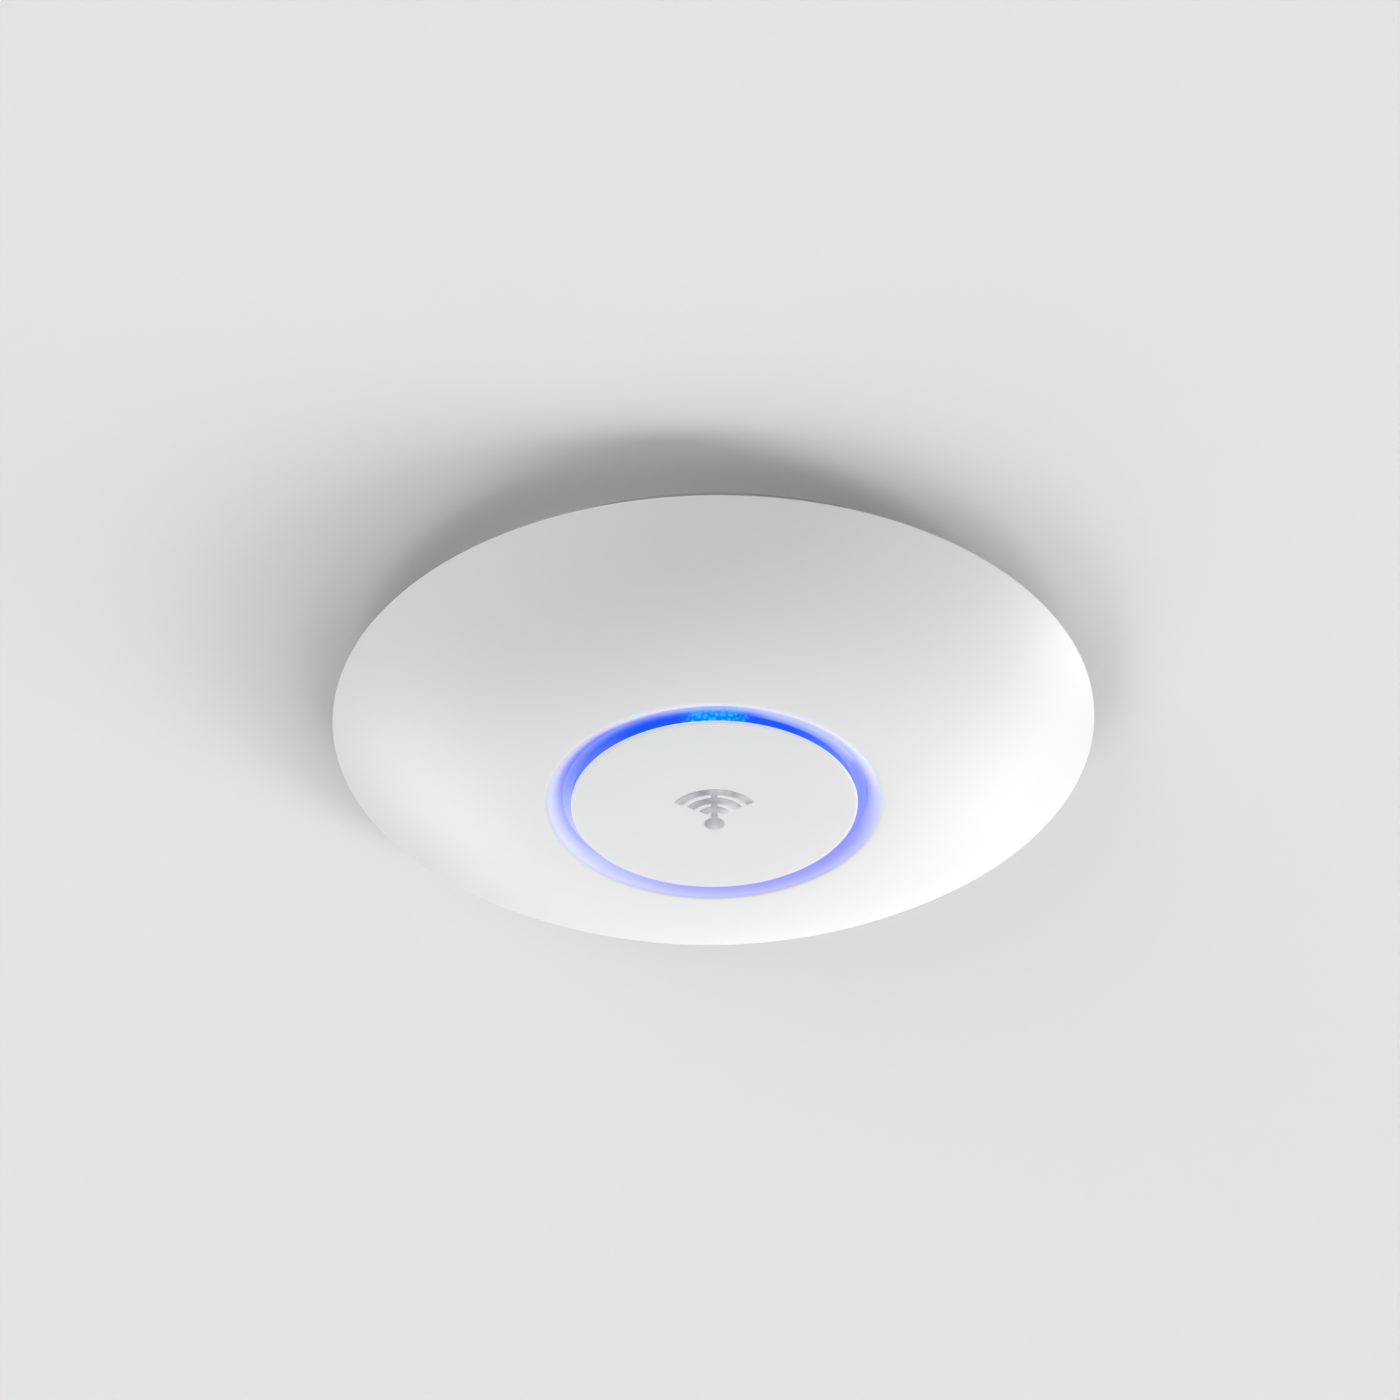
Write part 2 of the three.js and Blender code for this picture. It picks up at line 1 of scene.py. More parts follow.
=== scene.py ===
"""Looks for the ceiling access point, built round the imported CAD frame.

Shapes are written in millimetres in the part's own frame: +Z up into the ceiling, the cable side
towards +Y. They are turned into metres when their mesh is made. The lamps, the ceiling and the
camera are in metres. Directions are azimuths in degrees, from +X to +Y.
"""

import math

import bmesh
import bpy
from mathutils import Matrix, Vector

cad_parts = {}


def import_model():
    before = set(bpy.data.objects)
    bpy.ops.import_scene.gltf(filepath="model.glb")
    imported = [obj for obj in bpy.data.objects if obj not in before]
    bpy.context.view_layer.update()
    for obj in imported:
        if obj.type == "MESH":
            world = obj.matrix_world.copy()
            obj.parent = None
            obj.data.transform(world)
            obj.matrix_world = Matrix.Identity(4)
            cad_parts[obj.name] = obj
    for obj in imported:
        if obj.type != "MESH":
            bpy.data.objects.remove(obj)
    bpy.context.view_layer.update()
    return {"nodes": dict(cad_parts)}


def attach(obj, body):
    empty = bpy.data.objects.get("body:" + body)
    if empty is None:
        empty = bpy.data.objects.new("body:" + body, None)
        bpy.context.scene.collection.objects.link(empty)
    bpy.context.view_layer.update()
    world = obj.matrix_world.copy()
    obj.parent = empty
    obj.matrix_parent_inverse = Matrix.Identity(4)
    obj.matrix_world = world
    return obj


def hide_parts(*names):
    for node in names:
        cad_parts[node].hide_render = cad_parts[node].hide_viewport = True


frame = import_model()
nodes = frame["nodes"]
scene = bpy.context.scene
scene.view_settings.view_transform = "Standard"

MM = 0.001
ON_AXIS, MERGE_GAP, FLAT_ANGLE, BEVEL_FROM = 1e-6, 1e-6, 0.4, 40
FINE, ARC_STEPS = 256, 4

# ---- the dish ----
RIM_R, RIM_Z, DEPTH, CROWN_POWER, SHELL = 98.35, -10.0, 35.0, 3.34, 2.2
GROOVE_R, CHAMFER_R, CHAMFER_Z = 43.2, 39.0, -31.2
CAP_R, COLLAR_R, COLLAR_Z = 36.75, 36.6, -33.55
FLANGE_R, FLANGE_Z, GUIDE_TOP, GUIDE_BORE_R = 38.9, -31.25, -26.4, 35.7
RIM_TOP, COVER_EDGE_R, COVER_EDGE_Z = -9.67, 94.2, -11.5
SIGN_SINK, SIGN_EASE, SIGN_LIFT, SIGN_FACE = 0.09, (12.6, 24.0), 3.5, -34.8
SIGN_ARCHES, SIGN_STROKE, SIGN_FOOT_R, SIGN_FOOT_Y = (4.4, 8.2, 12.0), 2.2, 2.6, 3.2

# ---- the back ----
BACK_Z, BACK_R, POCKET_R, POCKET_Z, WALL = -0.8, 88.6, 64.0, -5.6, 2.0
WELL_X, WELL_Y0, WELL_Y1, WELL_Z = 28.0, 21.0, 55.0, -22.0
EXIT_X, EXIT_Z, EXIT_END = 4.5, -8.0, 100.0
BOSS_R, BOSS_ANGLES, BOSS_POST_R, BOSS_TOP = 78.0, (45, 135, 225, 315), 3.6, -4.7
PILOT_R, CLEAR_R, RECESS_R, PAD_R, PAD_LOW = 1.5, 1.7, 3.4, 5.2, -4.4
STANDOFF_RING, STANDOFF_ANGLES, STANDOFF_HOLE_R = 60.0, (20, 160, 230, 310), 1.6

# ---- the ceiling plate and its lock ----
PLATE_R, WEB_LOW, WEB_TOP = 62.0, -5.0, -3.0
STUD_RING, STUD_ANGLES, STUD_R, STUD_HEAD_R = 46.0, (30, 160, 225, 315), 2.2, 4.2
HEAD_LOW, HEAD_SHOULDER, HEAD_TOP = -2.7, -1.5, -1.0
PLATE_RIBS = [(50, 59.8), (181, 59.8), (245, 49.0), (270, 49.0), (341, 59.8)]
PLATE_SLITS, SLIT_OUTER, SLIT_INNER = [(190, 236), (279, 332)], 25, 17
HUB_R, SEAT_R, RIM_WALL, RIB_HALF, RIB_TOP = 11.0, 5.5, 2.4, 0.8, -0.4
SLOT_HALF, ENTRY_R, TWIST = 2.6, 4.8, 22.0
SCREW_X, SCREW_Y, SCREW_HOLE_R, SINK_R = 30.0, 16.0, 2.2, 4.6
PIVOT, PIVOT_R, LEVER_LOW, LEVER_TOP = (-25.0, -49.5), 1.6, -2.75, -0.75
NOSE_TIP, NOSE_HALF, NOTCH_DEPTH, NOSE_TRAVEL, NOSE_REST = 65.3, 2.2, 65.8, 1.9, 2.2

# ---- sockets and the reset pin ----
BOARD_TOP = -20.8
JACK_X, JACK_W, JACK_BACK, JACK_FRONT, JACK_H = (-12.0, 8.0), 16.0, -1.0, 20.7, 12.8
SOCKET_DEPTH, CONTACT_PITCH, CONTACT_W = 15.0, 1.02, 0.44
RESET_X, RESET_Z, RESET_R, RESET_Y0, RESET_Y1 = 22.5, -16.2, 0.9, 15.2, 20.4

# ---- the stage, in metres ----
CEILING_HALF, CEILING_LIFT = 2.5, 0.0002
BACK_LAMP_DISTANCE, BACK_LAMP_SIZE = 2.0, 0.002


def crown(r):
    """Height of the dish's outer face at a radius."""
    return RIM_Z - (DEPTH + RIM_Z) * (1 - (r / RIM_R) ** CROWN_POWER)


def polar(r, degrees):
    return r * math.cos(math.radians(degrees)), r * math.sin(math.radians(degrees))


def spread(low, high, steps):
    return [low + (high - low) * i / steps for i in range(steps + 1)]


# ---------------------------------------------------------------- solids as (points, faces)


def turned(profile, segments=FINE):
    """A solid of revolution about Z. The profile closes on itself, or starts and ends on the axis."""
    points, rows, faces = [], [], []
    for r, z in profile:
        if r < ON_AXIS:
            rows.append([len(points)] * segments)
            points.append((0.0, 0.0, z))
        else:
            rows.append(list(range(len(points), len(points) + segments)))
            turns = [2 * math.pi * k / segments for k in range(segments)]
            points += [(r * math.cos(t), r * math.sin(t), z) for t in turns]
    closed = profile[0][0] > ON_AXIS
    for i in range(len(rows) if closed else len(rows) - 1):
        low, high = rows[i], rows[(i + 1) % len(rows)]
        for k in range(segments):
            n = (k + 1) % segments
            corner = dict.fromkeys((low[k], low[n], high[n], high[k]))
            if len(corner) > 2:
                faces.append(tuple(corner))
    return points, faces


def prism(first, last):
    """A solid between two outlines with the same number of points."""
    n = len(first)
    sides = [(i, (i + 1) % n, n + (i + 1) % n, n + i) for i in range(n)]
    return [*first, *last], [tuple(reversed(range(n))), tuple(range(n, 2 * n)), *sides]


def raised(plan, z0, z1):
    """An outline in plan, raised from z0 to z1."""
    return prism([(x, y, z0) for x, y in plan], [(x, y, z1) for x, y in plan])


def block(low, high):
    (x0, y0, z0), (x1, y1, z1) = low, high
    return raised([(x0, y0), (x1, y0), (x1, y1), (x0, y1)], z0, z1)


def taper(at, r0, r1, z0, z1, segments=48):
    """An upright cone frustum, r0 at z0 and r1 at z1."""
    x, y = at
    turns = [2 * math.pi * k / segments for k in range(segments)]
    low = [(x + r0 * math.cos(t), y + r0 * math.sin(t), z0) for t in turns]
    high = [(x + r1 * math.cos(t), y + r1 * math.sin(t), z1) for t in turns]
    return prism(low, high)


def post(at, r, z0, z1, segments=48):
    return taper(at, r, r, z0, z1, segments)


def arc_band(outer, inner, start, end, z0, z1, steps=28):
    sweep = spread(start, end, steps)
    plan = [polar(outer, a) for a in sweep] + [polar(inner, a) for a in reversed(sweep)]
    return raised(plan, z0, z1)


def moved(solid, matrix):
    points, faces = solid
    return [tuple(matrix @ Vector(p)) for p in points], faces


def spun(solid, degrees):
    return moved(solid, Matrix.Rotation(math.radians(degrees), 4, "Z"))


def laid(solid, at):
    """An upright solid laid along +Y, with its origin at a point."""
    return moved(solid, Matrix.Translation(at) @ Matrix.Rotation(math.radians(-90), 4, "X"))


def rounded(corners):
    """A profile from (r, z, radius) corners, each corner drawn as an arc of its radius."""
    out = []
    n = len(corners)
    for i, (x, y, radius) in enumerate(corners):
        here = Vector((x, y))
        if radius <= 0:
            out.append((x, y))
            continue
        back = (Vector(corners[i - 1][:2]) - here).normalized()
        ahead = (Vector(corners[(i + 1) % n][:2]) - here).normalized()
        half = back.angle(ahead) / 2
        reach = radius / math.tan(half)
        centre = here + (back + ahead).normalized() * (radius / math.sin(half))
        start = here + back * reach - centre
        end = here + ahead * reach - centre
        sweep = math.atan2(start.x * end.y - start.y * end.x, start.dot(end))
        for k in range(ARC_STEPS + 1):
            a = sweep * k / ARC_STEPS
            c, s = math.cos(a), math.sin(a)
            p = centre + Vector((start.x * c - start.y * s, start.x * s + start.y * c))
            out.append((p.x, p.y))
    return out


# ---------------------------------------------------------------- meshes


def make(name, solid):
    """An object from a solid, faces turned out."""
    points, faces = solid
    mesh = bpy.data.meshes.new(name)
    mesh.from_pydata([tuple(c * MM for c in p) for p in points], [], faces)
    edit = bmesh.new()
    edit.from_mesh(mesh)
    bmesh.ops.recalc_face_normals(edit, faces=edit.faces)
    if edit.calc_volume(signed=True) < 0:
        bmesh.ops.reverse_faces(edit, faces=edit.faces)
    edit.to_mesh(mesh)
    edit.free()
    obj = bpy.data.objects.new(name, mesh)
    scene.collection.objects.link(obj)
    return obj


def settle(obj):
    """Applies the object's modifiers to its mesh."""
    graph = bpy.context.evaluated_depsgraph_get()
    mesh = bpy.data.meshes.new_from_object(obj.evaluated_get(graph))
    old = obj.data
    obj.modifiers.clear()
    obj.data = mesh
    bpy.data.meshes.remove(old)


def shape(name, base, joins=(), cuts=(), bevel=0.0, sharp=32):
    """A solid with others joined and cut, its cut edges softened, shaded smooth up to an angle."""
    obj = make(name, base)
    tools = []
    for operation, solids in (("UNION", joins), ("DIFFERENCE", cuts)):
        for solid in solids:
            tool = make("tool", solid)
            boolean = obj.modifiers.new("boolean", "BOOLEAN")
            boolean.operation = operation
            boolean.solver = "MANIFOLD"
            boolean.object = tool
            tools.append(tool)
    if tools:
        settle(obj)
        for tool in tools:
            mesh = tool.data
            bpy.data.objects.remove(tool)
            bpy.data.meshes.remove(mesh)
        edit = bmesh.new()
        edit.from_mesh(obj.data)
        bmesh.ops.remove_doubles(edit, verts=edit.verts, dist=MERGE_GAP)
        flat = math.radians(FLAT_ANGLE)
        bmesh.ops.dissolve_limit(edit, angle_limit=flat, verts=edit.verts, edges=edit.edges)
        edit.to_mesh(obj.data)
        edit.free()
    if bevel:
        soften = obj.modifiers.new("bevel", "BEVEL")
        soften.width = bevel * MM
        soften.segments = 2
        soften.limit_method = "ANGLE"
        soften.angle_limit = math.radians(BEVEL_FROM)
        soften.use_clamp_overlap = True
        settle(obj)
    obj.data.shade_smooth()
    obj.data.set_sharp_from_angle(angle=math.radians(sharp))
    if bevel:
        weigh = obj.modifiers.new("normals", "WEIGHTED_NORMAL")
        weigh.keep_sharp = True
        settle(obj)
    return obj


def place(obj, body, stands_for, material):
    """Gives a finished piece its material and its body, and hides the CAD node it stands for."""
    obj.data.materials.clear()
    obj.data.materials.append(material)
    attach(obj, body)
    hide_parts(stands_for)


# ---------------------------------------------------------------- materials


class Nodes:
    """A short way to write a material's node tree."""

    def __init__(self, name, material=None):
        self.material = material or bpy.data.materials.new(name)
        self.material.use_nodes = True
        self.tree = self.material.node_tree
        self.shader = self.tree.nodes["Principled BSDF"]
        self.place = self.add("ShaderNodeTexCoord").outputs["Object"]

    def add(self, kind, links=None, **values):
        node = self.tree.nodes.new(kind)
        for key, value in values.items():
            setattr(node, key, value)
        for socket, source in (links or {}).items():
            self.feed(node.inputs[socket], source)
        return node

    def feed(self, socket, source):
        """Links another node's output to a socket, or sets a constant on it."""
        if isinstance(source, bpy.types.NodeSocket):
            self.tree.links.new(source, socket)
        else:
            socket.default_value = source

    def set(self, **inputs):
        """Sets inputs of the shader itself, with _ for a space in their names."""
        for key, source in inputs.items():
            self.feed(self.shader.inputs[key.replace("_", " ")], source)

    def noise(self, scale, detail, roughness=0.5, vector=None):
        links = {
            "Vector": vector or self.place,
            "Scale": scale,
            "Detail": detail,
            "Roughness": roughness,
        }
        return self.add("ShaderNodeTexNoise", links).outputs["Fac"]

    def ramp(self, source, stops):
        node = self.add("ShaderNodeValToRGB", {"Fac": source})
        elements = node.color_ramp.elements
        while len(elements) < len(stops):
            elements.new(0.5)
        for element, (position, colour) in zip(elements, stops):
            element.position = position
            element.color = (*colour, 1.0)
        return node.outputs["Color"]

    def maths(self, operation, *operands):
        links = dict(enumerate(operands))
        return self.add("ShaderNodeMath", links, operation=operation).outputs[0]

    def span(self, source, low, high, out_low=0.0, out_high=1.0, smooth=False):
        links = {
            "Value": source,
            "From Min": low,
            "From Max": high,
            "To Min": out_low,
            "To Max": out_high,
        }
        kind = "SMOOTHSTEP" if smooth else "LINEAR"
        return self.add("ShaderNodeMapRange", links, interpolation_type=kind).outputs["Result"]

    def mix(self, factor, a, b, blend="MIX"):
        """Two colours mixed. A colour mix node has its sockets at 0, 6 and 7, and its result at 2."""
        a, b = ((*c, 1.0) if isinstance(c, tuple) else c for c in (a, b))
        links = {0: factor, 6: a, 7: b}
        node = self.add("ShaderNodeMix", data_type="RGBA", blend_type=blend)
        for socket, source in links.items():
            self.feed(node.inputs[socket], source)
        return node.outputs[2]

    def bump(self, height, strength, distance):
        links = {"Height": height, "Strength": strength, "Distance": distance}
        self.set(Normal=self.add("ShaderNodeBump", links).outputs["Normal"])

    def polar(self):
        """Distance from the Z axis, height, and a function that grows from 0 to 1 towards a side."""
        x, y, z = self.add("ShaderNodeSeparateXYZ", {"Vector": self.place}).outputs
        square = self.maths("ADD", self.maths("POWER", x, 2), self.maths("POWER", y, 2))
        r = self.maths("SQRT", square)

        def lobe(azimuth, low, high, both_ways=False):
            """Low and high are cosines of the angle between a point's direction and the azimuth."""
            a = math.radians(azimuth)
            along = self.maths("MULTIPLY", y, math.sin(a))
            along = self.maths("MULTIPLY_ADD", x, math.cos(a), along)
            cosine = self.maths("DIVIDE", along, r)
            if both_ways:
                cosine = self.maths("ABSOLUTE", cosine)
            return self.span(cosine, low, high, smooth=True)

        return r, z, lobe


def moulded_skin(n, roughness, grain):
    """The fine spark-eroded grain of a moulded surface, and its slightly uneven gloss."""
    n.set(Roughness=n.span(n.noise(900.0, 2.0), 0.3, 0.7, roughness - 0.04, roughness + 0.04))
    n.bump(n.noise(2600.0, 3.0, 0.6), grain, 0.12 * MM)


def plastic(name, colour, roughness, grain):
    """Moulded plastic with a slow faint change of tone."""
    n = Nodes(name)
    tone = 0.012
    low = tuple(c * (1 - tone) for c in colour)
    high = tuple(min(c * (1 + tone), 1.0) for c in colour)
    n.set(Base_Color=n.ramp(n.noise(18.0, 2.0), [(0.3, low), (0.7, high)]))
    n.set(Specular_IOR_Level=0.45)
    moulded_skin(n, roughness, grain)
    return n.material


def metal(name, colour, roughness, brushed=None):
    """Metal with fine scratches, along one axis where it is brushed."""
    n = Nodes(name)
    vector = n.place
    if brushed:
        vector = n.add("ShaderNodeMapping", {"Vector": n.place, "Scale": brushed}).outputs[0]
    marks = n.noise(350.0, 4.0, 0.6, vector)
    dark = tuple(c * 0.86 for c in colour)
    n.set(Base_Color=n.ramp(marks, [(0.3, dark), (0.75, colour)]))
    n.set(Roughness=n.span(marks, 0.3, 0.7, roughness - 0.07, roughness + 0.09), Metallic=1.0)
    n.bump(marks, 0.12, 0.08 * MM)
    return n.material


def painted_groove_light(n, depth, lobe):
    """What the chamfer's colour is multiplied by: the guide's blue light painted in, white at the
    groove's edge and blue at its foot, and painted shade on one side.
    """
    stops = [
        (0.0, (1.0, 1.0, 1.0)),
        (0.10, (0.86, 0.87, 0.97)),
        (0.45, (0.68, 0.71, 1.0)),
        (1.0, (0.40, 0.45, 1.0)),
    ]
    # Painted shade: the chamfer is darkened by up to 22 percent towards 205 degrees, most near the
    # groove's edge.
    dark = n.maths("MULTIPLY", lobe(205, 0.5, 0.95), 0.22)
    dark = n.maths("MULTIPLY", dark, n.span(depth, 0.15, 0.7, 1.0, 0.0))
    return n.mix(dark, n.ramp(depth, stops), (0.0, 0.0, 0.0))


def groove_glow(n, depth, lobe):
    """Painted light on the chamfer: the guide's blue as a glow, deepening towards the groove's foot,
    with a paler painted wash on some sides.
    """
    stops = [
        (0.0, (0.0, 0.0, 0.02)),
        (0.12, (0.0, 0.0, 0.22)),
        (0.3, (0.0, 0.0, 0.42)),
        (0.6, (0.01, 0.015, 0.55)),
        (1.0, (0.03, 0.05, 0.70)),
    ]
    # Painted light: the chamfer is washed paler towards 110, 312 and 250 degrees, except right at the
    # groove's edge.
    pale = n.maths("MULTIPLY", lobe(110, -0.3, 1.0), 0.16)
    pale = n.maths("MULTIPLY_ADD", lobe(312, 0.70, 1.0), 0.26, pale)
    pale = n.maths("MULTIPLY_ADD", lobe(250, 0.90, 1.0), 0.18, pale)
    pale = n.maths("MULTIPLY", pale, n.span(depth, 0.0, 0.25, smooth=True))
    links = {0: n.ramp(depth, stops), 1: pale}
    return n.add("ShaderNodeVectorMath", links, operation="ADD").outputs[0]


def cover_material():
    """White satin plastic; on the chamfer of the light groove the guide's blue light is painted into
    the colour and as a glow.
    """
    n = Nodes("cover_plastic")
    body = n.ramp(n.noise(14.0, 2.0), [(0.3, (0.80, 0.805, 0.81)), (0.7, (0.815, 0.815, 0.81))])
    r, _, lobe = n.polar()
    depth = n.span(r, GROOVE_R * MM, CHAMFER_R * MM)
    inside = n.span(r, (GROOVE_R + 0.25) * MM, (GROOVE_R - 0.2) * MM)
    # Painted light and shade: the chamfer's colour takes the guide's blue and a darker side, and the
    # chamfer glows blue.
    n.set(Base_Color=n.mix(inside, body, painted_groove_light(n, depth, lobe), "MULTIPLY"))
    glow = n.mix(inside, (0.0, 0.0, 0.0), groove_glow(n, depth, lobe))
    n.set(Emission_Color=glow, Emission_Strength=1.0, Specular_IOR_Level=0.4)
    moulded_skin(n, 0.44, 0.05)
    return n.material


def cap_material():
    """The same plastic as the cover; the guide's blue light on its rim is painted as a glow."""
    cap = plastic("cap_plastic", (0.80, 0.803, 0.806), 0.44, 0.05)
    n = Nodes("", cap)
    r, _, _ = n.polar()
    # Painted light: the cap's outer edge glows blue.
    rim = n.span(r, (CAP_R - 0.22) * MM, (CAP_R - 0.04) * MM)
    n.set(Emission_Color=n.mix(rim, (0.0, 0.0, 0.0), (0.03, 0.06, 0.55)), Emission_Strength=1.0)
    return cap


def guide_material():
    """The lit light guide: azure on the collar, hot and speckled over the light; round the ring its
    blue is painted deeper on one side and paler and whiter on others, as light falls.
    """
    n = Nodes("lit_guide")
    r, z, lobe = n.polar()
    over_light = lobe(271, 0.965, 0.999)
    cells = n.add("ShaderNodeTexVoronoi", {"Vector": n.place, "Scale": 880.0}, feature="F1")
    speckle = n.span(cells.outputs["Distance"], 0.2, 0.6, 1.0, 0.0)
    spark = n.maths("MULTIPLY", over_light, speckle)

    collar = n.mix(over_light, (0.006, 0.075, 0.96), (0.002, 0.18, 0.96))
    # Painted light: the collar is paler towards 0 and 180 degrees.
    collar = n.mix(lobe(0, 0.5, 0.95, both_ways=True), collar, (0.12, 0.18, 0.96))
    collar = n.mix(spark, collar, (0.008, 0.60, 1.0))

    across = n.span(r, COLLAR_R * MM, FLANGE_R * MM)
    # Painted light: the flange is deeper blue towards 262 degrees, and paler and whiter towards 110,
    # 285 and 312 degrees.
    inner = n.mix(lobe(262, 0.15, 0.95), (0.215, 0.262, 0.94), (0.008, 0.095, 0.96))
    inner = n.mix(n.maths("MULTIPLY", over_light, 0.6), inner, (0.004, 0.26, 0.97))
    outer = n.mix(lobe(285, 0.70, 0.98), (0.24, 0.305, 0.96), (0.50, 0.56, 0.97))
    flange = n.mix(n.maths("POWER", across, 1.6), inner, outer)
    flange = n.mix(lobe(110, 0.0, 0.9), flange, (0.60, 0.64, 0.95))
    painted_wash = n.mix(across, (0.22, 0.30, 0.96), (0.54, 0.60, 1.0))
    flange = n.mix(lobe(312, 0.86, 0.97), flange, painted_wash)
    flange = n.mix(n.maths("MULTIPLY", spark, 0.85), flange, (0.03, 0.55, 1.0))

    on_flange = n.span(z, (FLANGE_Z - 0.35) * MM, (FLANGE_Z - 0.02) * MM)
    n.set(Emission_Color=n.mix(on_flange, collar, flange), Emission_Strength=1.0)
    n.set(Base_Color=n.mix(on_flange, (0.0, 0.02, 0.12), (0.02, 0.03, 0.08)))
    n.set(Roughness=0.35, Specular_IOR_Level=0.2)
    n.bump(cells.outputs["Distance"], 0.15, 0.2 * MM)
    return n.material


def foil_material():
    """Satin silver foil with a soft slow change of tone."""
    n = Nodes("silver_foil")
    tone = n.noise(140.0, 2.0)
    n.set(Base_Color=n.ramp(tone, [(0.3, (0.46, 0.47, 0.49)), (0.7, (0.92, 0.93, 0.95))]))
    n.set(Metallic=0.75, Roughness=n.span(n.noise(1200.0, 3.0), 0.3, 0.7, 0.30, 0.42))
    n.bump(n.noise(1800.0, 2.0), 0.08, 0.08 * MM)
    return n.material


def board_material(name, mask, copper):
    """A circuit board: solder mask over faint tracks and drilled vias."""
    n = Nodes(name)
    tracks = n.add(
        "ShaderNodeTexBrick",
        {
            "Vector": n.place,
            "Scale": 260.0,
            "Mortar Size": 0.06,
            "Color1": (*mask, 1.0),
            "Color2": (*(c * 0.9 for c in mask), 1.0),
            "Mortar": (*copper, 1.0),
        },
    )
    vias = n.add("ShaderNodeTexVoronoi", {"Vector": n.place, "Scale": 420.0}, feature="F1")
    dots = n.span(vias.outputs["Distance"], 0.10, 0.16, 1.0, 0.0)
    n.set(Base_Color=n.mix(dots, tracks.outputs["Color"], (0.45, 0.36, 0.16)), Roughness=0.38)
    n.bump(tracks.outputs["Fac"], 0.2, 0.05 * MM)
    return n.material


def ceiling_material():
    """Pale matte paint below; seen from above it isn't there, so the object's back shows."""
    n = Nodes("ceiling_paint")
    tone = n.ramp(n.noise(3.0, 2.0), [(0.3, (0.805, 0.805, 0.805)), (0.7, (0.815, 0.815, 0.815))])
    n.set(Base_Color=tone, Roughness=0.9, Specular_IOR_Level=0.1)
    above = n.add("ShaderNodeNewGeometry").outputs["Backfacing"]
    clear = n.add("ShaderNodeBsdfTransparent").outputs[0]
    links = {0: above, 1: n.shader.outputs[0], 2: clear}
    mixed = n.add("ShaderNodeMixShader", links).outputs[0]
    n.tree.links.new(mixed, n.tree.nodes["Material Output"].inputs["Surface"])
    return n.material


COVER = cover_material()
GUIDE = guide_material()
FOIL = foil_material()
CAP = cap_material()
HOUSING = plastic("housing_plastic", (0.62, 0.622, 0.625), 0.52, 0.12)
PLATE = plastic("plate_plastic", (0.66, 0.66, 0.655), 0.5, 0.14)
LEVER = plastic("lever_plastic", (0.42, 0.43, 0.44), 0.45, 0.1)
JACK = plastic("jack_plastic", (0.035, 0.037, 0.04), 0.38, 0.08)
CHIP = plastic("moulded_epoxy", (0.02, 0.02, 0.022), 0.55, 0.3)
GRAPHITE = plastic("ferrite", (0.05, 0.052, 0.056), 0.5, 0.3)
PAD = plastic("thermal_pad", (0.30, 0.42, 0.58), 0.85, 0.3)
LED = plastic("led_lens", (0.75, 0.82, 0.95), 0.2, 0.02)
LABEL = plastic("label_paper", (0.72, 0.73, 0.74), 0.7, 0.1)
STEEL = metal("zinc_steel", (0.62, 0.63, 0.65), 0.3)
SHIELD = metal("tinned_shield", (0.66, 0.67, 0.68), 0.28, (1.0, 12.0, 1.0))
ALUMINIUM = metal("cast_aluminium", (0.60, 0.61, 0.62), 0.42)
BRASS = metal("plated_brass", (0.78, 0.62, 0.30), 0.26)
BRONZE = metal("spring_bronze", (0.70, 0.58, 0.36), 0.32, (14.0, 1.0, 1.0))
BOARD = board_material("green_board", (0.012, 0.085, 0.045), (0.03, 0.16, 0.08))
LIGHT_BOARD = board_material("white_board", (0.70, 0.70, 0.68), (0.58, 0.58, 0.56))

KEPT_LOOKS = {
    "heat_plate": ALUMINIUM,
    "heat_sink": ALUMINIUM,
    "main_board": BOARD,
    "led_board": LIGHT_BOARD,
    "rating_label": LABEL,
    "standoff": BRASS,
    "board_screw": STEEL,
    "line_transformer": CHIP,
    "power_transformer": GRAPHITE,
    "power_inductor": GRAPHITE,
    "capacitor": GRAPHITE,
    "processor": CHIP,
    "memory_chip": CHIP,
    "flash_chip": CHIP,
    "thermal_pad": PAD,
    "radio_shield": SHIELD,
    "antenna_lead": CHIP,
    "antenna_plug": BRASS,
    "antenna": BRONZE,
    "led": LED,
    "reset_switch": GRAPHITE,
}

# ---------------------------------------------------------------- the dish


def screw_boss(at):
    """A post whose foot follows the dish, half way into its wall."""
    points, faces = post(at, BOSS_POST_R, 0.0, BOSS_TOP, 40)
    sunk = SHELL / 2
    return [(x, y, z if z < 0 else crown(math.hypot(x, y)) + sunk) for x, y, z in points], faces


def dish_cover():
    face = [(r, crown(r)) for r in spread(GROOVE_R + 0.9, 97.5, 72)]
    lip = [(GROOVE_R - 0.75, -33.02), (GROOVE_R - 0.3, -33.21), (GROOVE_R + 0.15, -33.32)]
    rim = [
        (97.95, -10.36),
        (98.2, -10.16),
        (98.33, -9.97),
        (98.33, -9.84),
        (98.22, -9.73),
        (97.98, RIM_TOP),
    ]
    inside = [(r, crown(r) + SHELL) for r in spread(91.5, GROOVE_R + 2.3, 24)]
    profile = [
        (CHAMFER_R, CHAMFER_Z),
        *lip,
        *face,
        *rim,
        (COVER_EDGE_R, RIM_TOP),
        (COVER_EDGE_R, COVER_EDGE_Z),
        *inside,
        (CHAMFER_R, CHAMFER_Z + SHELL - 0.2),
    ]
    bosses = [screw_boss(polar(BOSS_R, a)) for a in BOSS_ANGLES]
    holes = [post(polar(BOSS_R, a), PILOT_R, -19.0, -4.0, 24) for a in BOSS_ANGLES]
    obj = shape("cover_shell", turned(profile), bosses, holes, sharp=30)
    place(obj, "device", "dome_cover", COVER)


